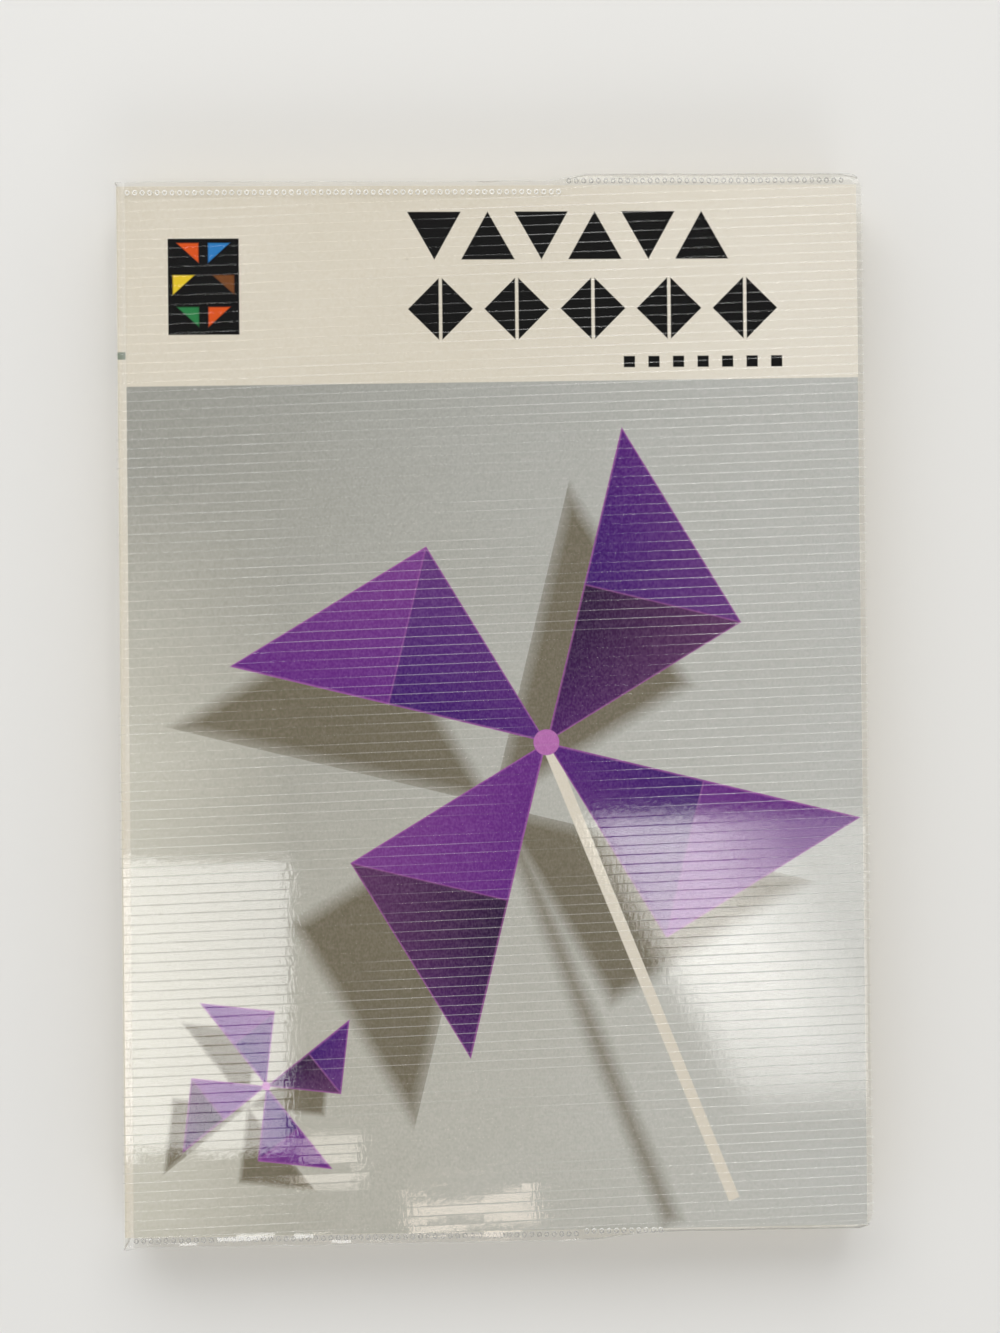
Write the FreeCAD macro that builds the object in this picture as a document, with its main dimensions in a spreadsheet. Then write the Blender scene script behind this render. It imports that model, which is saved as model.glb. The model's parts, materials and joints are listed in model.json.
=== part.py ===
"""A small paperback book in a clear vinyl jacket, lying closed on its back cover.

The book is a block of pages with one card wrap round it, which folds at both edges of the spine: a front
cover, a narrow spine card and a back cover. The jacket is one clear sheet round the closed book. Its two ends
are folded back inside the covers and welded at head and tail, so that each end is a pocket for a cover. The
wrap and the jacket are each divided at the two folds, because the covers swing there.

Lengths are millimetres. X runs from the spine to the fore-edge, Y from the tail to the head and Z from the
back cover to the front cover. The origin is on the table, below the middle of the whole book.
"""
import FreeCAD
import Part
import Sketcher
import os

SIZES = {
    "cover_width": 105.0,
    "cover_height": 148.0,
    "block_thick": 9.0,
    "card_thick": 0.35,
    "vinyl_thick": 0.25,
    "leaf_gap": 0.10,
    "fold_gap": 0.05,
    "flap_width": 41.5,
    "pocket_gap": 0.15,
    "fore_margin": 0.9,
    "spine_head_margin": 0.6,
    "spine_tail_margin": 1.4,
    "head_step": 1.5,
    "tail_step": 10.0,
    "front_head_margin": 1.6,
    "front_tail_margin": 0.7,
    "front_head_radius": 2.2,
    "front_tail_radius": 1.2,
    "back_head_margin": 1.2,
    "back_tail_margin": 1.0,
    "back_head_radius": 1.6,
    "back_tail_radius": 1.6,
}

# Levels up through the closed book
BACK_COVER = "Sizes.vinyl_thick"
BACK_FLAP = BACK_COVER + " + Sizes.card_thick"
BLOCK = BACK_FLAP + " + Sizes.vinyl_thick + Sizes.leaf_gap"
BLOCK_TOP = BLOCK + " + Sizes.block_thick"
FRONT_FLAP = BLOCK_TOP + " + Sizes.leaf_gap"
FRONT_COVER = FRONT_FLAP + " + Sizes.vinyl_thick"
FRONT_SHEET = FRONT_COVER + " + Sizes.card_thick"
SPINE_BASE = BACK_FLAP + " + Sizes.fold_gap"
SPINE_RISE = f"({FRONT_COVER} - Sizes.fold_gap) - ({SPINE_BASE})"

# Places along X, about the middle of the whole book
MIDDLE = "(Sizes.fore_margin - Sizes.vinyl_thick) / 2"
FORE = "Sizes.cover_width / 2 - " + MIDDLE
SPINE = f"{FORE} - Sizes.cover_width"
BLOCK_SPINE = SPINE + " + Sizes.card_thick"
JACKET_SPINE = SPINE + " - Sizes.vinyl_thick"
SHEET_FOLD = JACKET_SPINE + " + Sizes.fold_gap"
FLAP_EDGE = FORE + " - Sizes.flap_width"
POCKET_FORE = FORE + " + Sizes.pocket_gap"
JACKET_FORE = FORE + " + Sizes.fore_margin"

# Places along Y, about the middle of the jacket's longest stretch
HEAD = "Sizes.cover_height / 2 - (Sizes.front_head_margin - Sizes.spine_tail_margin) / 2"
TAIL = f"{HEAD} - Sizes.cover_height"
SPINE_HEAD = HEAD + " + Sizes.spine_head_margin"
SPINE_TAIL = TAIL + " - Sizes.spine_tail_margin"
POCKET_HEAD = HEAD + " + Sizes.pocket_gap"
POCKET_TAIL = TAIL + " - Sizes.pocket_gap"


def make_sheet(doc):
    """The spreadsheet of driving sizes."""
    sheet = doc.addObject("Spreadsheet::Sheet", "Sizes")
    for row, (alias, value) in enumerate(SIZES.items(), start=1):
        sheet.set(f"A{row}", alias)
        sheet.set(f"B{row}", str(value))
        sheet.setAlias(f"B{row}", alias)
    doc.recompute()


def value_of(doc, expression):
    """What an expression of the sizes comes to, as a plain number."""
    return float(doc.Sizes.evalExpression(expression))


def new_body(doc, name):
    body = doc.addObject("PartDesign::Body", name)
    body.Label = name
    return body


def rectangle(x_low, x_high, y_low, y_high):
    return [(x_low, y_low), (x_high, y_low), (x_high, y_high), (x_low, y_high)]


def outline(body, name, corners, level):
    """A closed sketch whose corners and height are expressions of the sizes."""
    doc = body.Document
    sketch = body.newObject("Sketcher::SketchObject", name)
    plane = [feature for feature in body.Origin.OriginFeatures if feature.Role == "XY_Plane"][0]
    sketch.AttachmentSupport = [(plane, "")]
    sketch.MapMode = "FlatFace"
    sketch.setExpression("AttachmentOffset.Base.z", level)
    points = [FreeCAD.Vector(value_of(doc, x), value_of(doc, y), 0) for x, y in corners]
    count = len(points)
    for i, point in enumerate(points):
        sketch.addGeometry(Part.LineSegment(point, points[(i + 1) % count]))
    for i in range(count):
        sketch.addConstraint(Sketcher.Constraint("Coincident", i, 2, (i + 1) % count, 1))
    for i, (x, y) in enumerate(corners):
        for kind, expression, value in (("DistanceX", x, points[i].x), ("DistanceY", y, points[i].y)):
            index = sketch.addConstraint(Sketcher.Constraint(kind, -1, 1, i, 1, value))
            sketch.setExpression(f"Constraints[{index}]", expression)
    return sketch


def pad(body, name, corners, level, rise):
    """A pad upwards from a level, both the level and the rise being expressions of the sizes."""
    feature = body.newObject("PartDesign::Pad", name)
    feature.Profile = outline(body, name + "_outline", corners, level)
    feature.setExpression("Length", rise)


def round_corner(body, name, x, y, radius):
    """Rounds the upright edge that stands at one corner."""
    body.Document.recompute()
    at_x, at_y = value_of(body.Document, x), value_of(body.Document, y)
    near = 1e-4
    base = body.Tip
    upright = []
    for i, edge in enumerate(base.Shape.Edges, start=1):
        if all(abs(end.X - at_x) < near and abs(end.Y - at_y) < near for end in edge.Vertexes):
            upright.append(f"Edge{i}")
    fillet = body.newObject("PartDesign::Fillet", name)
    fillet.Base = (base, upright)
    fillet.setExpression("Radius", radius)


def make_plate(doc, name, corners, level, rise):
    pad(new_body(doc, name), name + "_plate", corners, level, rise)


def make_page_block(doc):
    corners = rectangle(BLOCK_SPINE, FORE, TAIL, HEAD)
    make_plate(doc, "page_block", corners, BLOCK, "Sizes.block_thick")


def make_spine(doc):
    """The spine's card and its strip of the jacket, both a little short of the covers."""
    make_plate(doc, "spine_card", rectangle(SPINE, BLOCK_SPINE, TAIL, HEAD), SPINE_BASE, SPINE_RISE)
    strip = rectangle(JACKET_SPINE, SPINE, SPINE_TAIL, SPINE_HEAD)
    make_plate(doc, "jacket_spine", strip, SPINE_BASE, SPINE_RISE)


def make_cover(doc, side, level):
    """A cover's card, which lies between the jacket's sheet and its flap."""
    make_plate(doc, side + "_cover", rectangle(SPINE, FORE, TAIL, HEAD), level, "Sizes.card_thick")


def make_jacket(doc, side, sheet_level, cover_level, flap_level):
    """One side of the jacket: the sheet over the cover, folded at the fore-edge into the flap behind it."""
    head = f"{HEAD} + Sizes.{side}_head_margin"
    tail = f"{TAIL} - Sizes.{side}_tail_margin"
    flap = [
        (FLAP_EDGE, SPINE_TAIL),
        (FLAP_EDGE + " + Sizes.tail_step", tail),
        (JACKET_FORE, tail),
        (JACKET_FORE, head),
        (FLAP_EDGE + " + Sizes.head_step", head),
        (FLAP_EDGE, SPINE_HEAD),
    ]
    pocket = [
        (FLAP_EDGE, POCKET_HEAD),
        (POCKET_FORE, POCKET_HEAD),
        (POCKET_FORE, POCKET_TAIL),
        (FLAP_EDGE, POCKET_TAIL),
    ]
    sheet = [(SHEET_FOLD, SPINE_TAIL)] + flap + [(SHEET_FOLD, SPINE_HEAD)]
    spine_lip = rectangle(SHEET_FOLD, SPINE, SPINE_TAIL, SPINE_HEAD)
    name = "jacket_" + side
    body = new_body(doc, name)
    pad(body, name + "_sheet", sheet, sheet_level, "Sizes.vinyl_thick")
    pad(body, name + "_rim", flap + pocket, cover_level, "Sizes.card_thick")
    pad(body, name + "_flap", flap, flap_level, "Sizes.vinyl_thick")
    pad(body, name + "_lip", spine_lip, cover_level, "Sizes.card_thick")
    round_corner(body, name + "_head_corner", JACKET_FORE, head, f"Sizes.{side}_head_radius")
    round_corner(body, name + "_tail_corner", JACKET_FORE, tail, f"Sizes.{side}_tail_radius")


def check_document(doc):
    """Stops if any object failed, or a body has no sound solid."""
    for thing in doc.Objects:
        if "Invalid" in thing.State or "Error" in thing.State:
            raise RuntimeError(f"{thing.Label} failed: {thing.State}")
    bodies = [thing for thing in doc.Objects if thing.TypeId == "PartDesign::Body"]
    for body in bodies:
        if body.Shape.isNull() or not body.Shape.isValid() or len(body.Shape.Solids) != 1:
            raise RuntimeError(f"{body.Label} is not one sound solid")
    return bodies


def write_parts(bodies):
    os.makedirs("parts", exist_ok=True)
    for body in bodies:
        body.Shape.exportStep(f"parts/{body.Label}.step")
        box = body.Shape.BoundBox
        sides = f"{box.XLength:.2f} x {box.YLength:.2f} x {box.ZLength:.2f}"
        print(f"{body.Label}: {sides} from {box.ZMin:.2f}, {body.Shape.Volume:.1f} mm3")


def main():
    doc = FreeCAD.newDocument("jacketed_paperback")
    make_sheet(doc)
    make_page_block(doc)
    make_spine(doc)
    make_cover(doc, "front", FRONT_COVER)
    make_cover(doc, "back", BACK_COVER)
    make_jacket(doc, "front", FRONT_SHEET, FRONT_COVER, FRONT_FLAP)
    make_jacket(doc, "back", "0 mm", BACK_COVER, BACK_FLAP)
    doc.recompute()
    write_parts(check_document(doc))


main()
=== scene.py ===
"""A pocket paperback in a clear ribbed vinyl jacket, dressed over its solids.

The card wrap and the jacket are modelled flat and then folded round the book. Each is a front half and a
back half, which meet half way up the spine, and each half bends at its cover's fold.
"""
import json
import random
from contextlib import contextmanager
from math import atan, cos, hypot, pi, radians, sin, tan

import bmesh
import bpy
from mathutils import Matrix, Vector, noise


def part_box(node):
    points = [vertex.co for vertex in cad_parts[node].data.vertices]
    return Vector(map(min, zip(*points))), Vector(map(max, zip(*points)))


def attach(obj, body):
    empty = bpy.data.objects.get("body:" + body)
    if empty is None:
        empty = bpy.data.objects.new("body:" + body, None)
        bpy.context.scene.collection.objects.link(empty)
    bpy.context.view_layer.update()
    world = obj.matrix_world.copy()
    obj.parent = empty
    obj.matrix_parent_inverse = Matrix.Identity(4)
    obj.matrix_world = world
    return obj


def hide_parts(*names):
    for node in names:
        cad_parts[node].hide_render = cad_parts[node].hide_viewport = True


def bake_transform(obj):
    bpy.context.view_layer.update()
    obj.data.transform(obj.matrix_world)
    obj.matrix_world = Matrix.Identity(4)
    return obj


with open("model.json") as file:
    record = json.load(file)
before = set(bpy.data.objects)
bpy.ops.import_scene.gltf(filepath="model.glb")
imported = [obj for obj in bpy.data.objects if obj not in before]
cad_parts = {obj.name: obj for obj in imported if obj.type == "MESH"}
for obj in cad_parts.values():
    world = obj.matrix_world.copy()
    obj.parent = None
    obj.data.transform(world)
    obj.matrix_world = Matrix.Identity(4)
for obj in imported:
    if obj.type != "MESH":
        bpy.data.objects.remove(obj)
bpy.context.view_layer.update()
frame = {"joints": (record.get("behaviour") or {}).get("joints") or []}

bl_info = {
    "name": "Jacketed paperback",
    "version": (1, 0, 0),
    "blender": (4, 5, 0),
    "location": "View3D > Sidebar > Paperback",
    "description": "Models a pocket paperback in a clear ribbed vinyl jacket round its solids",
    "category": "Add Mesh",
}

MM = 0.001

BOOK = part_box("page_block")
COVER = {side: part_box(side + "_cover") for side in ("front", "back")}
SHEET = {side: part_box("jacket_" + side) for side in ("front", "back")}
SPINE_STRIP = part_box("jacket_spine")
FOLD = {joint["child"]: Vector(joint["pos_m"]) for joint in frame["joints"]}

SPINE_X, FORE_X = COVER["front"][0].x, COVER["front"][1].x
TAIL_Y, HEAD_Y = COVER["front"][0].y, COVER["front"][1].y
JACKET_X, JACKET_FORE_X = SPINE_STRIP[0].x, SHEET["front"][1].x
BOOK_TOP = SHEET["front"][1].z
MIDDLE_Z = BOOK_TOP / 2
CARD_THICK = COVER["front"][1].z - COVER["front"][0].z
VINYL_THICK = SPINE_STRIP[1].x - SPINE_STRIP[0].x

# The flat sheet's reach past the card, and how far inside the card's edge it starts to be drawn in
SPARE = 2.2 * MM
SEAM = 1.0 * MM

NEAR = 0.01 * MM
# How strongly the film's outer rim and the welded rings are drawn hazy; where they are drawn grey, past the
# card, that is painted shade of the cut film edge.
EDGE_HAZE_AND_SHADE = 1.8


def linear(red, green, blue):
    """A colour written in the 0 to 255 steps of a screen, as the light it stands for."""
    shares = (step / 255 for step in (red, green, blue))
    return tuple(((share + 0.055) / 1.055) ** 2.4 if share > 0.04 else share / 12.92 for share in shares)


def length(name, description, value):
    return bpy.props.FloatProperty(name=name, description=description, default=value, unit="LENGTH")


def colour(name, description, *steps):
    return bpy.props.FloatVectorProperty(
        name=name, description=description, default=linear(*steps), size=3, min=0, max=1, subtype="COLOR"
    )


class JacketSizes(bpy.types.PropertyGroup):
    """Sizes of the clear jacket that its solids leave out."""

    rib_pitch: length("Rib pitch", "Distance from one embossed rib to the next", 1.34 * MM)
    rib_width: length("Rib width", "Width of one rib at its foot", 0.17 * MM)
    rib_height: length("Rib height", "How far a rib stands out of the sheet", 0.028 * MM)
    rib_slant: bpy.props.FloatProperty(
        name="Rib slant",
        description="Angle of the ribs to the book's head",
        default=radians(1.9),
        unit="ROTATION",
    )
    ring_pitch: length("Ring pitch", "Distance from one ring of the welded seam to the next", 1.05 * MM)
    ring_size: length("Ring size", "Outer width of one welded ring", 0.72 * MM)
    flap_width: length("Flap width", "How far the sheet goes back behind the cover", 41.5 * MM)
    lift: length("Lift", "Largest height of the loose sheet over the card", 0.04 * MM)


class BlockSizes(bpy.types.PropertyGroup):
    """Sizes of the leaves."""

    leaf_count: bpy.props.IntProperty(name="Leaves", description="Number of leaves in the block", default=75)
    unevenness: length("Unevenness", "How far one leaf's edge stands back from another's", 0.07 * MM)


class PrintColours(bpy.types.PropertyGroup):
    """Colours of the card, the print and the paper."""

    cream: colour("Cream", "Unprinted card at the head, the spine and the back", 218, 211, 197)
    board: colour("Board", "The card's inner face and its cut edges", 228, 222, 208)
    field_head: colour("Field at the head", "Grey ground below the head band", 157, 158, 152)
    field_tail: colour("Field at the tail", "Warm grey ground at the foot of the cover", 179, 177, 166)
    field_fore: colour("Field at the fore-edge", "Cooler grey ground on the right", 194, 196, 194)
    field_spine: colour("Field at the spine", "Paler ground low on the left", 214, 212, 200)
    shadow: colour("Printed shadow", "Soft shadow below the paper shapes", 101, 93, 70)
    plum: colour("Plum", "Middle tone of the folded paper", 100, 38, 130)
    indigo: colour("Indigo", "Dark tone of the folded paper", 62, 20, 108)
    dusk: colour("Dusk", "Darkest tone of the folded paper", 42, 16, 58)
    rose: colour("Rose", "Lit edge of the folded paper", 180, 108, 176)
    ink: colour("Ink", "Black print", 8, 8, 8)
    mark: colour("Mark", "Small band at the spine", 128, 138, 124)
    paper: colour("Paper", "The leaves", 229, 221, 203)


BACKDROP = linear(230, 229, 226)


# Shader maths


class Socket:
    """One output of a node, on which Python's operators add Math nodes."""

    def __init__(self, finish, socket):
        self.finish = finish
        self.socket = socket

    def math(self, operation, *others, clamp=False):
        values = {i: value for i, value in enumerate((self, *others))}
        return self.finish.node("Math", {"operation": operation, "use_clamp": clamp}, values)

    def __add__(self, other):
        return self.math("ADD", other)

    def __radd__(self, other):
        return self + other

    def __sub__(self, other):
        return self.math("SUBTRACT", other)

    def __rsub__(self, other):
        return self.math("MULTIPLY_ADD", -1, other)

    def __mul__(self, other):
        return self.math("MULTIPLY", other)

    def __rmul__(self, other):
        return self * other

    def __truediv__(self, other):
        return self.math("DIVIDE", other)

    def __abs__(self):
        return self.math("ABSOLUTE")

    def floor(self):
        return self.math("FLOOR")

    def least(self, other):
        return self.math("MINIMUM", other)

    def most(self, other):
        return self.math("MAXIMUM", other)

    def inside(self, softness=0.12):
        """1 where this distance is positive and 0 where it is negative, with a soft edge."""
        return self.math("MULTIPLY_ADD", 1 / softness, 0.5, clamp=True)


class Finish:
    """The nodes of a material, or of the world, in the making."""

    def __init__(self, owner):
        self.owner = owner
        owner.use_nodes = True
        self.tree = owner.node_tree
        self.tree.nodes.clear()

    def node(self, kind, settings=None, sockets=None, out=0):
        """Adds a node, applies its settings and then fills or links its sockets."""
        node = self.tree.nodes.new("ShaderNode" + kind)
        for key, value in (settings or {}).items():
            if key == "stops":
                self.set_stops(node.color_ramp, value)
            else:
                setattr(node, key, value)
        for key, value in (sockets or {}).items():
            if isinstance(value, Socket):
                self.tree.links.new(value.socket, node.inputs[key])
            elif hasattr(value, "__len__") and len(value) == 3 and len(node.inputs[key].default_value) == 4:
                node.inputs[key].default_value = (*value, 1)
            else:
                node.inputs[key].default_value = value
        return Socket(self, node.outputs[out])

    def set_stops(self, ramp, stops):
        """Gives a ramp its (position, colour) stops, each holding up to the next."""
        ramp.interpolation = "CONSTANT"
        while len(ramp.elements) < len(stops):
            ramp.elements.new(1)
        for element, (position, tone) in zip(ramp.elements, stops):
            element.position = position
            element.color = (*tone, 1)

    def mix(self, factor, first, second, blend_type="MIX"):
        """The second colour over the first by a factor."""
        settings = {"data_type": "RGBA", "blend_type": blend_type}
        return self.node("Mix", settings, {0: factor, 6: first, 7: second}, out=2)

    def mix_shaders(self, factor, first, second):
        """The second shader over the first by a factor."""
        return self.node("MixShader", None, {0: factor, 1: first, 2: second})

    def attribute(self, name, out="Fac"):
        return self.node("Attribute", {"attribute_name": name}, out=out)

    def place(self):
        """Where a point was on the closed book, in millimetres, as three numbers."""
        vector = self.attribute("place", "Vector")
        parts = [self.node("SeparateXYZ", None, {0: vector}, out=i) for i in range(3)]
        return vector, parts

    def noise(self, vector, size, detail=2, stretch=(1, 1, 1)):
        """Noise between 0 and 1 with spots of a size in millimetres."""
        scaled = self.node("VectorMath", {"operation": "MULTIPLY"}, {0: vector, 1: stretch})
        sockets = {"Vector": scaled, "Scale": 1 / size, "Detail": detail}
        return self.node("TexNoise", None, sockets)

    def finish(self, shader, output="ShaderNodeOutputMaterial"):
        self.tree.links.new(shader.socket, self.tree.nodes.new(output).inputs["Surface"])
        return self.owner


def new_finish(name):
    return Finish(bpy.data.materials.new(name))


class Mill:
    """A folded paper windmill with four blades, as fields over the cover. Lengths are in millimetres."""

    def __init__(self, across, down, centre, reach, turn):
        from_x, from_y = across - centre[0], down - centre[1]
        along = from_x * cos(turn) + from_y * sin(turn)
        beside = from_y * cos(turn) - from_x * sin(turn)
        quarters = beside.math("ARCTAN2", along) * (2 / pi) + 2
        self.reach = reach
        self.quarter = quarters.floor()
        self.radius = (along * along + beside * beside).math("SQRT")
        angle = (quarters - self.quarter) * (pi / 2)
        self.out = self.radius * angle.math("COSINE")
        self.over = self.radius * angle.math("SINE")
        self.rim = self.over.least(self.out - self.over).least((self.out + self.over) * -1 + reach)

    def drawn(self, finish, ground, colours):
        """The windmill over a ground, each blade with a dark and a light half."""
        tones = [colours.indigo, colours.plum, colours.dusk, colours.indigo]
        tones += [colours.indigo, colours.plum, colours.plum, colours.dusk]
        past_fold = (self.out - self.reach / 2).inside(0.15)
        index = (self.quarter * 2 + past_fold + 0.5) / 8
        stops = [(i / 8, tone) for i, tone in enumerate(tones)]
        tone = finish.node("ValToRGB", {"stops": stops}, {0: index})
        to_fold = (abs(self.out - self.reach / 2) * (2 / self.reach)).least(1)
        tone = finish.mix(to_fold * to_fold * 0.55, tone, colours.plum)
        tone = finish.mix(self.over * (0.4 / self.reach), tone, colours.rose)
        fold = (0.1 - abs(self.out - self.reach / 2)).inside(0.2)
        edge = (0.24 - self.rim).inside(0.25)
        hub = (self.reach * 0.04 - self.radius).inside()
        tone = finish.mix((fold * 0.4).most(edge * 0.55).most(hub), tone, colours.rose)
        return finish.mix(self.rim.inside().most(hub), ground, tone)


def stroke(across, down, start, end, width, softness):
    """A straight bar between two points."""
    dx, dy = end[0] - start[0], end[1] - start[1]
    span = hypot(dx, dy)
    along = (across - start[0]) * (dx / span) + (down - start[1]) * (dy / span)
    beside = (across - start[0]) * (-dy / span) + (down - start[1]) * (dx / span)
    return (width / 2 - abs(beside)).least(along).least(span - along).inside(softness)


def head_shapes(across, down):
    """Two rows of plain black shapes and a row of small squares, where a cover has its lettering."""
    cells = (across - 41.0) / 7.6
    cell = cells.floor()
    x, y = (cells - cell - 0.5) * 2, (down - 7.1) / 3.4
    parity = (cell * 0.5).math("FRACT") * 4 - 1
    triangle = ((y * parity + 1) * 0.5 - abs(x)).least(1 - abs(y)).least(cells).least(6 - cells)
    shapes = triangle.inside(0.04)
    cells = (across - 40.2) / 10.82
    x, y = (cells - cells.floor() - 0.5) * 2.35, (down - 17.5) / 4.6
    diamond = (1 - abs(x) - abs(y)).least(abs(x) - 0.05).least(cells).least(5 - cells)
    shapes = shapes.most(diamond.inside(0.03))
    cells = (across - 70.6) / 3.5
    x, y = abs(cells - cells.floor() - 0.5) * 3.5, abs(down - 25.1)
    square = (0.8 - x).least(0.8 - y).least(cells).least(7 - cells)
    return shapes.most(square.inside(0.12))


def head_tile(finish, across, down, colours):
    """A black tile with six small coloured triangles: where it lies and its colour."""
    low, high, top, foot = 7.2, 17.2, 7.4, 21.0
    columns, rows = (across - low) * (2 / (high - low)), (down - top) * (3 / (foot - top))
    column, row = columns.floor(), rows.floor()
    x, y = columns - column, rows - row
    lean = ((column + row) * 0.5).math("FRACT") * 2
    slope = x * (1 - lean) + (1 - x) * lean
    shape = (slope - y - 0.12).least(x - 0.14).least(0.86 - x).least(y - 0.14).least(0.86 - y).inside(0.05)
    hues = [linear(*steps) for steps in ((214, 84, 28), (44, 122, 190), (226, 196, 44), (112, 66, 30))]
    hues += [linear(40, 120, 66), linear(214, 84, 28)]
    stops = [(i / 6, hue) for i, hue in enumerate(hues)]
    hue = finish.node("ValToRGB", {"stops": stops}, {0: (row * 2 + column + 0.5) / 6})
    tile = (across - low).least(high - across).least(down - top).least(foot - down).inside()
    return tile, finish.mix(shape, colours.ink, hue)


def card_ground(finish, across, down, height, colours, side):
    """The wrap's plain colours: cream outside with a small band at the spine, and board inside."""
    band = (down - 23.4).least(24.45 - down).least(1.15 - across).inside()
    outer = finish.mix((across - 50) / 90, colours.cream, linear(236, 231, 222))
    outer = finish.mix(band, outer, colours.mark)
    sign = 1 if side == "front" else -1
    skin = (height - MIDDLE_Z / MM) * sign - (BOOK_TOP / 2 - VINYL_THICK - CARD_THICK / 2) / MM
    printed = skin.inside(0.05).most((0.1 - across).inside(0.05))
    cut = (across - 104.96).most(0.04 - down).most(down - 147.96).inside(0.02)
    return outer, printed * (1 - cut)


def weave(finish, vector):
    """The fine cross grain of the printed card, round 0.5."""
    return finish.noise(vector, 0.24, 0, (1, 0.6, 1)) * 0.7 + finish.noise(vector, 0.3, 0, (0.5, 1, 1)) * 0.3


def finish_card(finish, tone, outer, vector, grain, colours):
    """The printed or bare card, with its grain, its specks and a satin coat."""
    mottle = finish.noise(vector, 9.0, 2)
    grain_tone = finish.node("CombineColor", None, {0: grain, 1: grain, 2: grain})
    tone = finish.mix(0.14, tone, grain_tone, "OVERLAY")
    dulled = finish.mix(1.0, tone, (0.78, 0.77, 0.72), "MULTIPLY")
    tone = finish.mix((mottle - 0.42) * 0.22, tone, dulled)
    cells = {"Vector": vector, "Scale": 0.13}
    from_middle = finish.node("TexVoronoi", None, cells, out="Distance")
    chance = finish.node("SeparateXYZ", None, {0: finish.node("TexVoronoi", None, cells, out="Color")})
    speck = (0.016 - from_middle).inside(0.012) * (chance - 0.72).inside(0.02)
    tone = finish.mix(speck * 0.75, tone, (0.06, 0.055, 0.045))
    tone = finish.mix(outer, colours.board, tone)
    sockets = {"Base Color": tone, "Roughness": 0.7 - outer * 0.2, "Specular IOR Level": 0.06}
    return finish.finish(finish.node("BsdfPrincipled", None, sockets))


def printed_front():
    """The front of the wrap: head band with plain shapes, and paper windmills on a grey ground."""
    colours = bpy.context.scene.print_colours
    finish = new_finish("printed_card")
    vector, (x, y, height) = finish.place()
    across, down = x - SPINE_X / MM, HEAD_Y / MM - y
    outer, printed = card_ground(finish, across, down, height, colours, "front")
    tile, tile_tone = head_tile(finish, across, down, colours)
    outer = finish.mix(tile, outer, tile_tone)
    outer = finish.mix(head_shapes(across, down), outer, colours.ink)

    ground = finish.mix((down - 28) / 90, colours.field_head, colours.field_tail)
    ground = finish.mix((across - 15) / 110, ground, colours.field_fore)
    low_left = ((24 - across) / 32).most(0) * ((down - 40) / 40).most(0).least(1)
    ground = finish.mix(low_left, ground, colours.field_spine)
    hub, stick_foot = (60, 79), (86, 144)
    mills = ((hub, 46.0, radians(14)), ((20, 127), 15.0, radians(52)))
    shade = stroke(across, down, (53, 87), (77, 147), 2.2, 2.4) * 0.8
    for centre, reach, turn in mills:
        fallen = (centre[0] - reach * 0.17, centre[1] + reach * 0.19)
        shade = shade.most(Mill(across, down, fallen, reach, turn).rim.inside(reach * 0.08))
    ground = finish.mix(shade * 0.88, ground, colours.shadow)
    ground = finish.mix(stroke(across, down, hub, stick_foot, 1.6, 0.15), ground, colours.cream)
    for centre, reach, turn in mills:
        ground = Mill(across, down, centre, reach, turn).drawn(finish, ground, colours)
    grain = weave(finish, vector)
    dots = (grain - 0.5).math("MULTIPLY_ADD", 2.2, 0.3, clamp=True)
    ground = finish.mix(dots * 0.07, ground, (0.6, 0.46, 0.56))
    field = (down - 28.3 + across * 0.0076).least(across - 1.25).inside()
    tone = finish.mix(field, outer, ground)
    return finish_card(finish, tone, printed, vector, grain, colours)


def plain_back():
    """The back of the wrap, which is plain."""
    colours = bpy.context.scene.print_colours
    finish = new_finish("plain_card")
    vector, (x, y, height) = finish.place()
    across, down = x - SPINE_X / MM, HEAD_Y / MM - y
    outer, printed = card_ground(finish, across, down, height, colours, "back")
    return finish_card(finish, outer, printed, vector, weave(finish, vector), colours)


def leaf_paper():
    """Paper that is browner at its edges, with a line for each leaf."""
    colours = bpy.context.scene.print_colours
    finish = new_finish("leaf_paper")
    vector, (x, y, height) = finish.place()
    to_edge = (FORE_X / MM - x).least(HEAD_Y / MM - y).least(y - TAIL_Y / MM)
    toned = finish.mix((2.5 - to_edge).inside(5) * 0.3, colours.paper, linear(210, 196, 166))
    layers = finish.noise(vector, 0.16, 2, (0.02, 0.02, 1))
    on_edge = (0.25 - to_edge).inside(0.1)
    toned = finish.mix((layers - 0.3) * on_edge * 0.6, toned, linear(168, 152, 122))
    fibre = finish.noise(vector, 0.5, 3)
    bump = finish.node("Bump", None, {"Strength": 0.2, "Distance": 0.00003, "Height": fibre})
    sockets = {"Base Color": toned, "Roughness": 0.86, "Specular IOR Level": 0.25, "Normal": bump}
    return finish.finish(finish.node("BsdfPrincipled", None, sockets))


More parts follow.
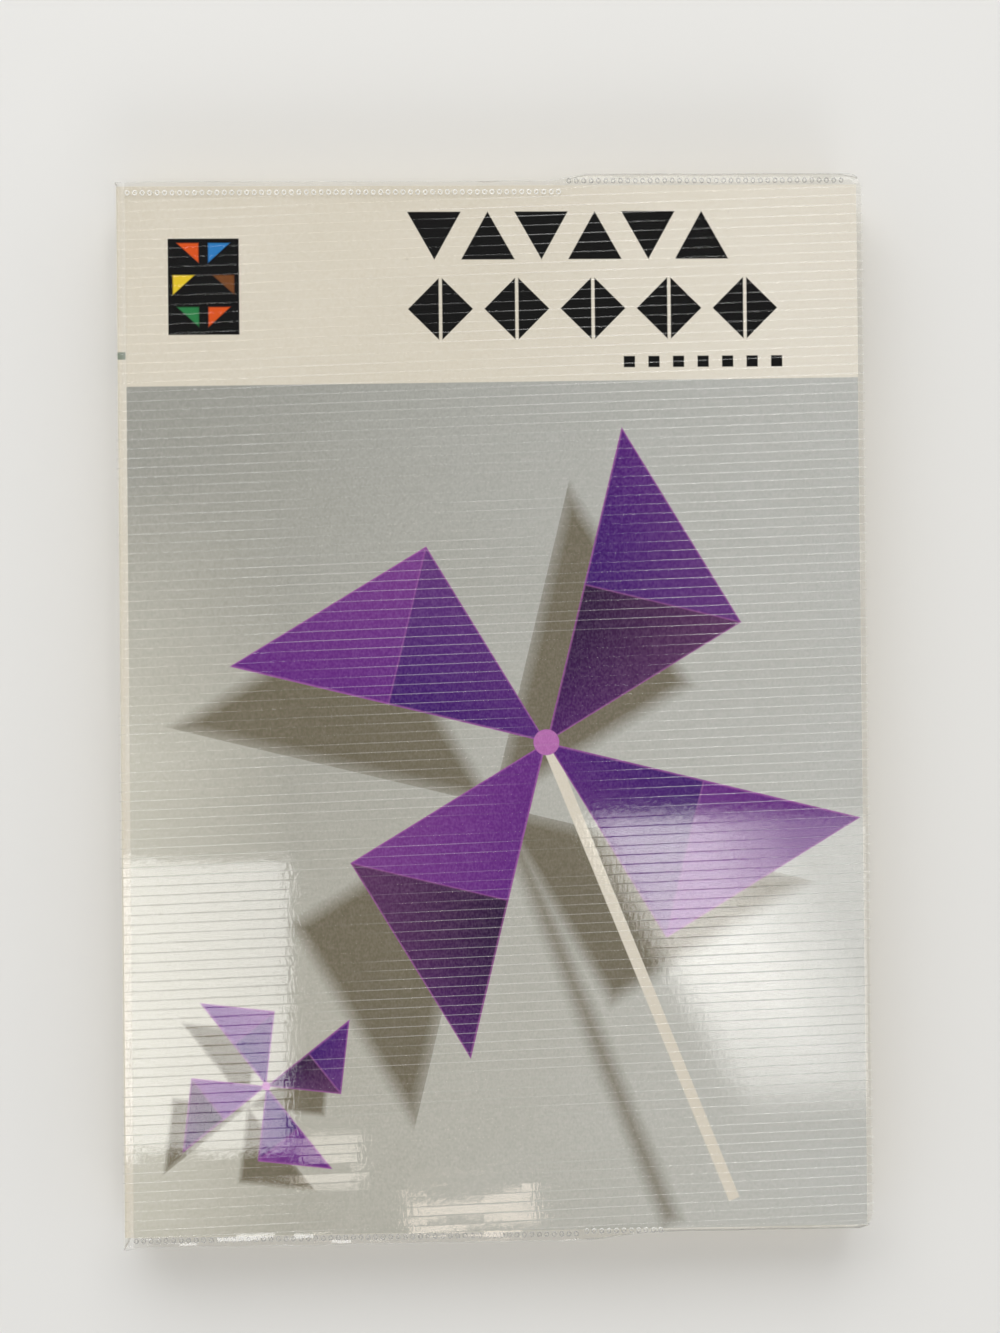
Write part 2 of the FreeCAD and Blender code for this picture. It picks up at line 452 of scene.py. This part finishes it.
def clear_vinyl():
    """Clear film that shines on its outer faces.

    One attribute says how far the film is drawn as a diffuse layer: white for its hazy ribs, which are
    partly the film's own frosting and partly painted glints, and for a painted highlight at the fold and
    painted glints at the card's fore-edge; grey, where the edge attribute says, as painted shade at the
    film's cut edge.
    """
    finish = new_finish("jacket_film")
    vector, _ = finish.place()
    peel = finish.noise(vector, 0.5, 1, (1, 0.5, 1))
    bump = finish.node("Bump", None, {"Strength": 1.0, "Distance": 0.0000024, "Height": peel})
    inner_face = finish.node("NewGeometry", out="Backfacing")
    shine = finish.node("Fresnel", None, {"IOR": 1.55, "Normal": bump}) * (1 - inner_face)
    film = finish.node("BsdfTransparent", None, {"Color": (0.99, 0.988, 0.98)})
    gloss = finish.node("BsdfAnisotropic", None, {"Color": (1, 1, 1), "Roughness": 0.04, "Normal": bump})
    # White diffuse: the film's hazy ribs, and the painted glints and painted highlights.
    white = finish.node("BsdfDiffuse", None, {"Color": (0.92, 0.92, 0.9)})
    # Grey diffuse: painted shade at the film's cut edge and on the rings past the card.
    grey = finish.node("BsdfDiffuse", None, {"Color": (0.5, 0.5, 0.48)})
    haze_and_edge_shade = finish.mix_shaders(finish.attribute("edge"), white, grey)
    clear = finish.mix_shaders(shine, film, gloss)
    return finish.finish(finish.mix_shaders(finish.attribute("crest") * 0.3 + 0.003, clear, haze_and_edge_shade))


def vinyl_inside():
    """The film's hidden inner faces, which only tint what is behind them."""
    finish = new_finish("vinyl_inside")
    vector, _ = finish.place()
    clear = finish.node("BsdfTransparent", None, {"Color": (0.992, 0.99, 0.984)})
    tinted = finish.node("BsdfTransparent", None, {"Color": (0.978, 0.975, 0.963)})
    return finish.finish(finish.mix_shaders(finish.noise(vector, 12, 0), clear, tinted))


def floor_finish():
    """A plain pale floor, which turns into the backdrop far from the book."""
    finish = new_finish("pale_floor")
    sockets = {"Base Color": linear(226, 225, 222), "Roughness": 0.9, "Specular IOR Level": 0.1}
    floor = finish.node("BsdfPrincipled", None, sockets)
    backdrop = finish.node("Emission", None, {"Color": BACKDROP})
    at = finish.node("NewGeometry", out="Position")
    away = finish.node("VectorMath", {"operation": "LENGTH"}, {0: at}, out="Value")
    far = (away - 0.9).inside(1.0) * finish.node("LightPath", out="Is Camera Ray")
    return finish.finish(finish.mix_shaders(far, floor, backdrop))


# Modelling


@contextmanager
def editing(piece):
    """Edit mode on one piece, with nothing selected."""
    bpy.ops.object.select_all(action="DESELECT")
    bpy.context.view_layer.objects.active = piece
    piece.select_set(True)
    bpy.ops.object.mode_set(mode="EDIT")
    bpy.ops.mesh.select_all(action="DESELECT")
    yield
    bpy.ops.object.mode_set(mode="OBJECT")


def pick(piece, kind, test):
    """Selects the vertices, edges or faces that pass a test, and nothing else."""
    bpy.ops.mesh.select_mode(type={"verts": "VERT", "edges": "EDGE", "faces": "FACE"}[kind])
    bpy.ops.mesh.select_all(action="DESELECT")
    mesh = bmesh.from_edit_mesh(piece.data)
    for item in getattr(mesh, kind):
        if test(item):
            item.select_set(True)
    mesh.select_flush_mode()
    bmesh.update_edit_mesh(piece.data)


def cut(point, normal, **sides):
    """Cuts the whole mesh along a plane."""
    bpy.ops.mesh.select_all(action="SELECT")
    bpy.ops.mesh.bisect(plane_co=point, plane_no=normal, threshold=0.001 * MM, **sides)


def add_plane(name, low, high, height=0.0):
    """A flat rectangle between two corners, its place in its mesh."""
    bpy.ops.object.select_all(action="DESELECT")
    middle = ((low[0] + high[0]) / 2, (low[1] + high[1]) / 2, height)
    bpy.ops.mesh.primitive_plane_add(size=1, location=middle)
    piece = bpy.context.object
    piece.name = name
    piece.scale = (high[0] - low[0], high[1] - low[1], 1)
    bpy.ops.object.transform_apply(location=True, rotation=True, scale=True)
    return piece


def apply_modifier(piece, kind, **settings):
    bpy.ops.object.select_all(action="DESELECT")
    bpy.context.view_layer.objects.active = piece
    piece.select_set(True)
    modifier = piece.modifiers.new(kind.title(), kind)
    for key, value in settings.items():
        setattr(modifier, key, value)
    bpy.ops.object.modifier_apply(modifier=modifier.name)


def join(pieces):
    bpy.ops.object.select_all(action="DESELECT")
    for piece in pieces:
        piece.select_set(True)
    bpy.context.view_layer.objects.active = pieces[0]
    bpy.ops.object.join()
    return pieces[0]


def keep_place(piece):
    """Stores where each point is on the closed book, in millimetres, for the patterns to follow."""
    attribute = piece.data.attributes.new("place", "FLOAT_VECTOR", "POINT")
    for point, item in zip(piece.data.vertices, attribute.data):
        item.vector = point.co / MM


def face_outward(piece):
    with editing(piece):
        bpy.ops.mesh.select_all(action="SELECT")
        bpy.ops.mesh.normals_make_consistent(inside=False)


def finish_piece(piece, material):
    piece.data.materials.clear()
    piece.data.materials.append(material)
    keep_place(piece)


def bend_at_fold(piece, side, start, end):
    """Bakes the placement of a half of the wrap or the jacket into its mesh.

    Start and end of the bend, X and Z from the fold in millimetres with Z towards the cover, are not used.
    """
    sign = 1 if side == "front" else -1
    start, end = (FOLD[side] + Vector((x, 0, z * sign)) * MM for x, z in (start, end))
    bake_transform(piece)


def upright(side, height):
    """A height measured on the front half, turned over for the back half."""
    return height if side == "front" else BOOK_TOP - height


class SheetPath:
    """The jacket's outer face in section, from half way up the spine to the flap's edge."""

    spine_round = 0.5 * MM

    def __init__(self, flap_width):
        self.fore_round = (BOOK_TOP - SHEET["front"][0].z) / 2
        self.rise = BOOK_TOP - self.spine_round - MIDDLE_Z
        self.spine_turn = self.rise + self.spine_round * pi / 2
        self.reach = JACKET_FORE_X - JACKET_X - self.spine_round - self.fore_round
        self.fore_start = self.spine_turn + self.reach
        self.fore_end = self.fore_start + self.fore_round * pi
        flap_edge = FORE_X - flap_width
        self.length = self.fore_end + (JACKET_FORE_X - self.fore_round - flap_edge)

    def at(self, s):
        """The point and the outward direction, each as x and z, at a distance along the sheet."""
        if s <= self.rise:
            return (JACKET_X, MIDDLE_Z + s), (-1, 0)
        if s <= self.spine_turn:
            turn = (s - self.rise) / self.spine_round
            out = (-cos(turn), sin(turn))
            centre = (JACKET_X + self.spine_round, BOOK_TOP - self.spine_round)
            return (centre[0] + out[0] * self.spine_round, centre[1] + out[1] * self.spine_round), out
        if s <= self.fore_start:
            return (JACKET_X + self.spine_round + s - self.spine_turn, BOOK_TOP), (0, 1)
        if s <= self.fore_end:
            turn = (s - self.fore_start) / self.fore_round
            out = (sin(turn), cos(turn))
            centre = (JACKET_FORE_X - self.fore_round, BOOK_TOP - self.fore_round)
            return (centre[0] + out[0] * self.fore_round, centre[1] + out[1] * self.fore_round), out
        past_fold = s - self.fore_end
        return (JACKET_FORE_X - self.fore_round - past_fold, BOOK_TOP - 2 * self.fore_round), (0, -1)

    def columns(self):
        """Where the flat sheet is divided, closer together at the folds."""
        stretches = (
            (0, self.rise - 1.5 * MM, 3),
            (self.rise - 1.5 * MM, self.rise, 4),
            (self.rise, self.spine_turn, 4),
            (self.spine_turn, self.spine_turn + 2 * MM, 5),
            (self.spine_turn + 2 * MM, self.fore_start - 1.35 * MM, 38),
            (self.fore_start - 1.35 * MM, self.fore_start, 6),
            (self.fore_start, self.fore_end, 8),
            (self.fore_end, self.length, 14),
        )
        for low, high, count in stretches:
            for i in range(count):
                yield low + (high - low) * i / count


def smooth_step(low, high, value):
    share = min(max((value - low) / (high - low), 0), 1)
    return share * share * (3 - 2 * share)


def wave(x, y, size, seed):
    """Smooth noise from -1 to 1 with waves of a size in millimetres."""
    return noise.noise(Vector((x / MM / size, y / MM / size, seed)))


class Outline:
    """How far one side of the jacket stands out past the card at head and tail, along X."""

    def __init__(self, side):
        self.seed = 3.0 if side == "front" else 8.0
        self.flap_edge = FORE_X - bpy.context.scene.jacket_sizes.flap_width
        self.spine_head = SPINE_STRIP[1].y - HEAD_Y
        self.spine_tail = TAIL_Y - SPINE_STRIP[0].y
        self.fore_head = SHEET[side][1].y - HEAD_Y
        self.fore_tail = (0.5 if side == "front" else 1.0) * MM
        self.corner = (2.2 if side == "front" else 1.6) * MM

    def head(self, x):
        over_flap = smooth_step(-0.6 * MM, 1.2 * MM, x - self.flap_edge)
        margin = self.spine_head + (self.fore_head - self.spine_head) * over_flap
        return margin + wave(x, 0, 7, self.seed) * 0.12 * MM

    def tail(self, x):
        over_flap = smooth_step(1 * MM, 11 * MM, x - self.flap_edge)
        margin = self.spine_tail + (self.fore_tail - self.spine_tail) * over_flap
        ear = 0.35 * MM * (1 - smooth_step(0.3 * MM, 2.4 * MM, x - JACKET_X))
        return margin + ear + wave(x, 0, 5, self.seed + 1) * 0.14 * MM * (1 - over_flap * 0.7)

    def drawn_in(self, x, y):
        """Pulls the flat sheet's spare at head and tail in to the margin there."""
        head, tail = HEAD_Y - SEAM, TAIL_Y + SEAM
        if y > head:
            return head + (y - head) * (SEAM + self.head(x)) / (SEAM + SPARE)
        if y < tail:
            return tail - (tail - y) * (SEAM + self.tail(x)) / (SEAM + SPARE)
        return y

    def corner_in(self, x, y):
        """Rounds the two fore-edge corners."""
        for sign, margin in ((1, self.head(x)), (-1, self.tail(x))):
            edge = HEAD_Y + margin if sign > 0 else TAIL_Y - margin
            a = x - (JACKET_FORE_X - self.corner)
            b = (y - edge) * sign + self.corner
            if a > 0 and b > 0:
                share = max(a, b) / hypot(a, b)
                x = JACKET_FORE_X - self.corner + a * share
                y = edge + (b * share - self.corner) * sign
        return x, y


def flat_ribbed_sheet(name, path, slant):
    """The sheet before it is folded: X runs along it from the spine, and its ribs slant a little."""
    sizes = bpy.context.scene.jacket_sizes
    pitch, foot = sizes.rib_pitch, sizes.rib_width
    drift = tan(abs(slant)) * path.length
    start = TAIL_Y - SPARE - drift - pitch
    ribs = int((HEAD_Y + SPARE - start + drift) / pitch) + 2
    strip = add_plane(name, (0, start), (path.length, start + pitch))
    with editing(strip):
        for rise in (foot / 2, foot):
            cut((0, start + rise, 0), (0, 1, 0))
        for column in list(path.columns())[1:]:
            cut((column, 0, 0), (1, 0, 0))
        pick(strip, "verts", lambda v: abs(v.co.y - start - foot / 2) < NEAR)
        bpy.ops.transform.translate(value=(0, 0, sizes.rib_height))
        feet = (start, start + foot, start + pitch)
        pick(strip, "edges", lambda e: all(min(abs(v.co.y - f) for f in feet) < NEAR for v in e.verts))
        bpy.ops.mesh.mark_sharp()
    apply_modifier(
        strip,
        "ARRAY",
        count=ribs,
        use_relative_offset=False,
        use_constant_offset=True,
        constant_offset_displace=(0, pitch, 0),
        use_merge_vertices=True,
        merge_threshold=NEAR,
    )
    for point in strip.data.vertices:
        point.co.y += tan(slant) * point.co.x
    with editing(strip):
        cut((0, HEAD_Y + SPARE, 0), (0, 1, 0), clear_outer=True)
        cut((0, TAIL_Y - SPARE, 0), (0, -1, 0), clear_outer=True)
        for inward in (0.14, 0.3, 0.7, 1.1, 1.6):
            cut((0, HEAD_Y + SPARE - inward * MM, 0), (0, 1, 0))
            cut((0, TAIL_Y - SPARE + inward * MM, 0), (0, 1, 0))
    return strip


def add_numbers(piece, *names):
    """Adds one attribute a name, each a number at every point."""
    for name in names:
        piece.data.attributes.new(name, "FLOAT", "POINT")
    return [piece.data.attributes[name].data for name in names]


def stand_off(outline, x, y, beyond, outer):
    """How far the film stands off the closed book: its slack, ripples, crinkled margins and its step."""
    sizes = bpy.context.scene.jacket_sizes
    seed, flap_edge = outline.seed, outline.flap_edge
    slack = (0.5 + 0.5 * wave(x, y, 21, seed)) * outer
    slack += 0.05 * wave(x, y, 6, seed + 2) * outer
    lift = max(slack, 0) * sizes.lift * smooth_step(0, 6 * MM, x - SPINE_X)
    near_tail = smooth_step(TAIL_Y + 16 * MM, TAIL_Y + 6 * MM, y) * outer
    lift += 0.02 * MM * near_tail * wave(x * 0.25, y, 3.2, seed + 14) * (y > TAIL_Y)
    past_card = smooth_step(0.02 * MM, 0.5 * MM, beyond)
    ruffle = 0.16 if y < 0 and x < flap_edge + 9 * MM else 0.05
    crinkle = wave(x, y * 0.4, 2.1, seed + 5) * ruffle * MM * past_card
    at_flap = 1 - smooth_step(0.2 * MM, 1.1 * MM, abs(x - flap_edge + 0.6 * MM))
    step = 0.1 * MM * at_flap * past_card * outer
    return lift + crinkle + step


def haze_and_painted_highlights(outline, x, y, rib, welded, outer):
    """How white the film is drawn: hazy ribs that are partly the film's own frosting and partly painted
    glints in patches, a painted dashed glint along the card's fore-edge, and a painted highlight along the
    fold beside the spine.
    """
    seed = outline.seed
    at_card = 1 - smooth_step(0.12 * MM, 0.3 * MM, abs(x - FORE_X - 0.05 * MM))
    # Painted glints: a broken bright line where the film bends over the card's fore-edge.
    painted_dash_glint = 0.45 * at_card * (rib < 0.1) * smooth_step(-0.3, 0.3, wave(x, y, 3, seed + 13))
    # Ribs drawn white, partly hazy film and partly painted glints, in patches that are brighter towards the
    # fore-edge.
    patch = wave(x, y, 26, seed + 9) + 0.6 * wave(x * 0.25, y * 3, 9, seed + 11) + x * 6
    on_rib = rib * (1 - welded) * (1 - at_card) * smooth_step(-0.4, 0.4, patch)
    # Painted highlight along the film's fold beside the spine.
    at_fold = 1 - min(abs(x - JACKET_X - 1.2 * MM) / (0.45 * MM), 1)
    painted_fold_highlight = 1.3 * at_fold * (0.55 + 0.45 * wave(y, 0, 9, seed + 15)) * outer
    return max(painted_dash_glint, on_rib, painted_fold_highlight)


def fold_sheet(piece, path, side):
    """Folds the flat sheet round its cover and gives it its margins, its weld and its slack."""
    rib_height = bpy.context.scene.jacket_sizes.rib_height
    outline = Outline(side)
    middle = BOOK_TOP - path.fore_round
    for point, crest, edge in zip(piece.data.vertices, *add_numbers(piece, "crest", "edge")):
        s, y, rib = point.co
        (x, z), (out_x, out_z) = path.at(s)
        outer = 1 if s < path.fore_start else 0
        y = outline.drawn_in(x, y)
        beyond = max(y - HEAD_Y, TAIL_Y - y)
        margin = outline.head(x) if y > 0 else outline.tail(x)
        welded = smooth_step(-0.5 * MM, 0, beyond)
        pinch = smooth_step(0, margin, beyond) * smooth_step(-1.5 * MM, 0, x - outline.flap_edge)
        z = middle + (z - middle) * (1 - 0.38 * pinch)
        x, y = outline.corner_in(x, y)
        # The outermost part of the margin, which the film draws grey as painted shade of its cut edge.
        edge.value = smooth_step(0.93, 1, beyond / margin)
        # One number for the film's hazy ribs, its painted glints and highlights, and its painted edge shade.
        crest.value = max(EDGE_HAZE_AND_SHADE * edge.value, haze_and_painted_highlights(outline, x, y, rib / rib_height, welded, outer))
        z += stand_off(outline, x, y, beyond, outer)
        if side == "front":
            past_flap = smooth_step(8 * MM, 14 * MM, x - outline.flap_edge)
            z -= 0.5 * MM * smooth_step(0, 0.5 * MM, TAIL_Y - y) * past_flap
        height = rib * (0.8 + 0.2 * wave(x * 0.4, y, 4, outline.seed + 12)) * (1 - 0.8 * welded)
        point.co = (x + out_x * height, y, upright(side, z + out_z * height))


class MESH_OT_book_block(bpy.types.Operator):
    """Model the leaves"""

    bl_idname = "mesh.book_block"
    bl_label = "Leaves"

    def execute(self, context):
        sizes = context.scene.block_sizes
        low, high = BOOK
        draw = random.Random(5)
        block = add_plane("leaves", (low.x, low.y), (high.x, high.y), low.z)
        leaf = (high.z - low.z) / sizes.leaf_count
        gap = leaf * 0.22
        with editing(block):
            for share in range(1, 12):
                cut((0, low.y + (high.y - low.y) * share / 12, 0), (0, 1, 0))
            bpy.ops.mesh.select_all(action="SELECT")
            for i in range(sizes.leaf_count):
                rises = (leaf - gap, gap) if i < sizes.leaf_count - 1 else (leaf,)
                for rise in rises:
                    bpy.ops.mesh.extrude_region_move(TRANSFORM_OT_translate={"value": (0, 0, rise)})
        levels = {}
        for point in block.data.vertices:
            level = round(point.co.z / NEAR)
            back = levels.setdefault(level, (draw.random(), draw.random(), draw.random()))
            fore, head, tail = (share * sizes.unevenness for share in back)
            if point.co.x > high.x - NEAR:
                point.co.x = high.x - fore - 0.02 * MM * abs(wave(point.co.y, point.co.z * 9, 9, 2))
            if point.co.y > high.y - NEAR:
                point.co.y = high.y - head
            if point.co.y < low.y + NEAR:
                point.co.y = low.y + tail
        face_outward(block)
        finish_piece(block, leaf_paper())
        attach(block, "block")
        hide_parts("page_block")
        return {"FINISHED"}


class MESH_OT_book_wrap(bpy.types.Operator):
    """Model the card wrap, in a front and a back half"""

    bl_idname = "mesh.book_wrap"
    bl_label = "Card wrap"

    def execute(self, context):
        for side, material in (("front", printed_front()), ("back", plain_back())):
            self.make_half(side, material)
        return {"FINISHED"}

    def make_half(self, side, material):
        """One cover and its half of the spine, as one bent card."""
        clear = 0.012 * MM
        top = COVER["front"][1].z - clear
        thick = CARD_THICK - 2 * clear
        start = SPINE_X + clear
        card = add_plane(side + "_card", (start, TAIL_Y), (FORE_X, HEAD_Y), top - thick)
        with editing(card):
            for i in range(9):
                cut((start + thick + i * 0.32 * MM, 0, 0), (1, 0, 0))
            for i in range(1, 14):
                cut((SPINE_X + 3.4 * MM + i * 7.2 * MM, 0, 0), (1, 0, 0))
            bpy.ops.mesh.select_all(action="SELECT")
            bpy.ops.mesh.extrude_region_move(TRANSFORM_OT_translate={"value": (0, 0, thick)})
            pick(card, "faces", lambda f: f.normal.z < -0.5 and f.calc_center_median().x < SPINE_X + thick)
            steps = [0.3 * MM] * 5
            for step in (*steps, top - thick - MIDDLE_Z - sum(steps)):
                bpy.ops.mesh.extrude_region_move(TRANSFORM_OT_translate={"value": (0, 0, -step)})
            for at_x, offset, segments in ((start, 0.27 * MM, 4), (FORE_X, 0.05 * MM, 2)):
                corner = Vector((at_x, 0, top))
                pick(card, "edges", lambda e: all((v.co - corner).xz.length < 0.6 * NEAR for v in e.verts))
                bpy.ops.mesh.bevel(offset=offset, segments=segments, affect="EDGES")
        for point in card.data.vertices:
            point.co.z = upright(side, point.co.z)
        face_outward(card)
        bpy.ops.object.shade_smooth_by_angle(angle=radians(32))
        finish_piece(card, material)
        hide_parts(side + "_cover", "spine_card")
        bend_at_fold(card, side, (0.2, -0.35), (0.7, 0.3))


class MESH_OT_book_jacket(bpy.types.Operator):
    """Model the clear jacket, in a front and a back half"""

    bl_idname = "mesh.book_jacket"
    bl_label = "Clear jacket"

    def execute(self, context):
        material, inside = clear_vinyl(), vinyl_inside()
        sizes = context.scene.jacket_sizes
        path = SheetPath(sizes.flap_width)
        for side, slant in (("front", sizes.rib_slant), ("back", -sizes.rib_slant)):
            sheet = flat_ribbed_sheet(side + "_jacket", path, slant)
            fold_sheet(sheet, path, side)
            face_outward_sheet(sheet, side)
            bpy.ops.object.shade_smooth()
            sheet.data.materials.append(material)
            sheet.data.materials.append(inside)
            film = {"thickness": VINYL_THICK - 0.02 * MM, "offset": -1, "use_even_offset": False}
            apply_modifier(sheet, "SOLIDIFY", material_offset=1, **film)
            keep_place(sheet)
            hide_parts("jacket_" + side, "jacket_spine")
            bend_at_fold(sheet, side, (0, -0.25), (0.25, 0.1))
        return {"FINISHED"}


def face_outward_sheet(sheet, side):
    """Turns an open sheet's faces so that the cover's outer face looks away from the book."""
    highest = max(sheet.data.polygons, key=lambda p: p.center.z if side == "front" else -p.center.z)
    wanted = 1 if side == "front" else -1
    with editing(sheet):
        bpy.ops.mesh.select_all(action="SELECT")
        if highest.normal.z * wanted < 0:
            bpy.ops.mesh.flip_normals()


class MESH_OT_book_welds(bpy.types.Operator):
    """Model the rows of small rings that weld the jacket at head and tail"""

    bl_idname = "mesh.book_welds"
    bl_label = "Welded rings"

    def execute(self, context):
        material = bpy.data.materials.get("jacket_film") or clear_vinyl()
        for side in ("front", "back"):
            rows = [self.make_row(side, *row) for row in self.rows(side)]
            rings = join(rows)
            rings.name = side + "_weld"
            face_outward(rings)
            bpy.ops.object.shade_smooth()
            for point, crest, edge in zip(rings.data.vertices, *add_numbers(rings, "crest", "edge")):
                # Rings inside the card's outline are drawn white and hazy; those past it grey, as painted
                # shade of the cut film edge.
                crest.value = EDGE_HAZE_AND_SHADE
                edge.value = 0 if TAIL_Y < point.co.y < HEAD_Y else 1
            finish_piece(rings, material)
            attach(rings, side)
        return {"FINISHED"}

    def rows(self, side):
        """Each row of rings: where it starts and ends along X, its Y and its height."""
        sizes = bpy.context.scene.jacket_sizes
        flap_edge = FORE_X - sizes.flap_width
        on_sheet = BOOK_TOP + 0.03 * MM
        on_rim = BOOK_TOP - 0.15 * MM
        start, end = SPINE_X + 1.6 * MM, FORE_X - 1.4 * MM
        return (
            (start, flap_edge - 1 * MM, HEAD_Y - 0.95 * MM, on_sheet),
            (flap_edge + 0.5 * MM, end, HEAD_Y + 0.62 * MM, on_rim),
            (start, flap_edge + 1 * MM, TAIL_Y - 0.45 * MM, on_rim),
            (flap_edge + 1.5 * MM, flap_edge + 13 * MM, TAIL_Y - 0.1 * MM, on_rim + 0.12 * MM),
        )

    def make_row(self, side, start, end, y, height):
        """A row of rings at the seam's pitch, each a flattened loop of film."""
        sizes = bpy.context.scene.jacket_sizes
        thick = 0.085 * MM
        bpy.ops.object.select_all(action="DESELECT")
        bpy.ops.mesh.primitive_torus_add(
            location=(start, y, upright(side, height)),
            major_radius=sizes.ring_size / 2 - thick,
            minor_radius=thick,
            major_segments=10,
            minor_segments=4,
        )
        row = bpy.context.object
        row.scale = (1, 1.12, 0.6)
        bpy.ops.object.transform_apply(location=True, rotation=True, scale=True)
        apply_modifier(
            row,
            "ARRAY",
            count=int((end - start) / sizes.ring_pitch) + 1,
            use_relative_offset=False,
            use_constant_offset=True,
            constant_offset_displace=(sizes.ring_pitch, 0, 0),
        )
        return row


class SCENE_OT_book_stage(bpy.types.Operator):
    """Set up the floor, the lights and the camera"""

    bl_idname = "scene.book_stage"
    bl_label = "Stage"

    def execute(self, context):
        self.lay_floor()
        self.light(context.scene)
        self.aim_camera(context.scene)
        view = context.scene.view_settings
        view.view_transform = "Standard"
        context.scene.cycles.transparent_max_bounces = 32
        return {"FINISHED"}

    def lay_floor(self):
        floor = add_plane("floor", (-3, -3), (3, 3), -0.13 * MM)
        floor.data.materials.append(floor_finish())

    def light(self, scene):
        """A pale sky, a soft lamp past the head and one past the tail, and panels that shine in the film."""
        world = bpy.data.worlds.new("studio")
        scene.world = world
        sky = Finish(world)
        ray = sky.node("TexCoord", out="Generated")
        height = sky.node("SeparateXYZ", None, {0: ray}, out="Z")
        above = ((0.92 - height) * 2.5).least(1.12).most(0.07)
        lit = sky.node("Background", None, {"Color": (1, 1, 1), "Strength": above})
        backdrop = sky.node("Background", None, {"Color": BACKDROP})
        seen = sky.node("LightPath", out="Is Camera Ray")
        sky.finish(sky.mix_shaders(seen, lit, backdrop), "ShaderNodeOutputWorld")
        self.add_panel("head_light", (-0.10, 0.62, 0.62), (1.0, 0.56), 2.42)
        self.add_panel("tail_light", (0.15, -0.70, 0.50), (0.5, 0.3), 1.95)
        pale, warm, peach = (1, 0.985, 0.95), (1, 0.93, 0.85), (1, 0.86, 0.74)
        self.add_panel("left_gleam", (-0.106, -0.121, 0.60), (0.085, 0.116), 6.1, 0)
        self.add_panel("low_gleam", (-0.049, -0.181, 0.60), (0.024, 0.016), 5.0, 0, warm)
        self.add_panel("tail_gleam", (0.008, -0.203, 0.60), (0.051, 0.0125), 6.0, radians(3), peach)
        right = self.add_panel("right_gleam", (0.113, -0.104, 0.60), (0.124, 0.134), 4.0, 0, pale)
        self.shape_gleam(right)

    def shape_gleam(self, panel):
        """Slants a lamp's left border and makes it brighter there, as light from a window is."""
        glow = Finish(panel)
        at = glow.node("NewGeometry", out="Position")
        x, y = (glow.node("SeparateXYZ", None, {0: at}, out=i) for i in range(2))
        past_left = (x - 0.056) * 0.89 + (y + 0.049) * 0.455
        within = past_left.inside(0.012) * (-0.049 - y).inside(0.008) * (y + 0.163).inside(0.02)
        core = (0.05 - past_left).inside(0.034) * (y + 0.14).inside(0.06)
        strength = within * (0.74 + core * 1.6)
        glow.finish(glow.node("Emission", None, {"Strength": strength}), "ShaderNodeOutputLight")

    def add_panel(self, name, place, size, radiance, turn=None, tint=(1, 1, 1)):
        """A rectangular lamp, by how bright its face is. It faces the book, or straight down with a turn."""
        lamp = bpy.data.lights.new(name, "AREA")
        lamp.shape = "RECTANGLE"
        lamp.size, lamp.size_y = size
        lamp.energy = radiance * pi * size[0] * size[1]
        lamp.color = tint
        panel = bpy.data.objects.new(name, lamp)
        panel.location = place
        if turn is None:
            panel.rotation_euler = (-Vector(place)).to_track_quat("-Z", "Y").to_euler()
        else:
            panel.rotation_euler = (0, 0, turn)
        panel.visible_camera = False
        bpy.context.scene.collection.objects.link(panel)
        return lamp

    def aim_camera(self, scene):
        """The photographed view, nearly straight down. The frame is 1333 pixels tall."""
        frame_height, focal_pixels = 1333, 2332.9
        lens = bpy.data.cameras.new("camera")
        lens.sensor_fit = "VERTICAL"
        lens.sensor_height = 24
        lens.lens = lens.sensor_height * focal_pixels / frame_height
        camera = bpy.data.objects.new("camera", lens)
        camera.location = (-10.37 * MM, 2.72 * MM, 340.65 * MM)
        camera.rotation_euler = (radians(0.534), radians(-1.917), radians(-0.575))
        scene.collection.objects.link(camera)
        scene.camera = camera


class VIEW3D_PT_book(bpy.types.Panel):
    """The book's pieces, sizes and colours"""

    bl_label = "Jacketed paperback"
    bl_space_type = "VIEW_3D"
    bl_region_type = "UI"
    bl_category = "Paperback"

    def draw(self, context):
        for operator in OPERATORS:
            self.layout.operator(operator.bl_idname)
        for name, group in GROUPS.items():
            for key in group.__annotations__:
                self.layout.prop(getattr(context.scene, name), key)


GROUPS = {"jacket_sizes": JacketSizes, "block_sizes": BlockSizes, "print_colours": PrintColours}
OPERATORS = (
    SCENE_OT_book_stage,
    MESH_OT_book_block,
    MESH_OT_book_wrap,
    MESH_OT_book_jacket,
    MESH_OT_book_welds,
)


def register():
    for part in (*GROUPS.values(), *OPERATORS, VIEW3D_PT_book):
        bpy.utils.register_class(part)
    for name, group in GROUPS.items():
        setattr(bpy.types.Scene, name, bpy.props.PointerProperty(type=group))


def unregister():
    for name in GROUPS:
        delattr(bpy.types.Scene, name)
    for part in (VIEW3D_PT_book, *reversed(OPERATORS), *reversed(GROUPS.values())):
        bpy.utils.unregister_class(part)


def main():
    register()
    bpy.ops.scene.book_stage()
    bpy.ops.mesh.book_block()
    bpy.ops.mesh.book_wrap()
    bpy.ops.mesh.book_jacket()
    bpy.ops.mesh.book_welds()


if __name__ == "__main__":
    main()
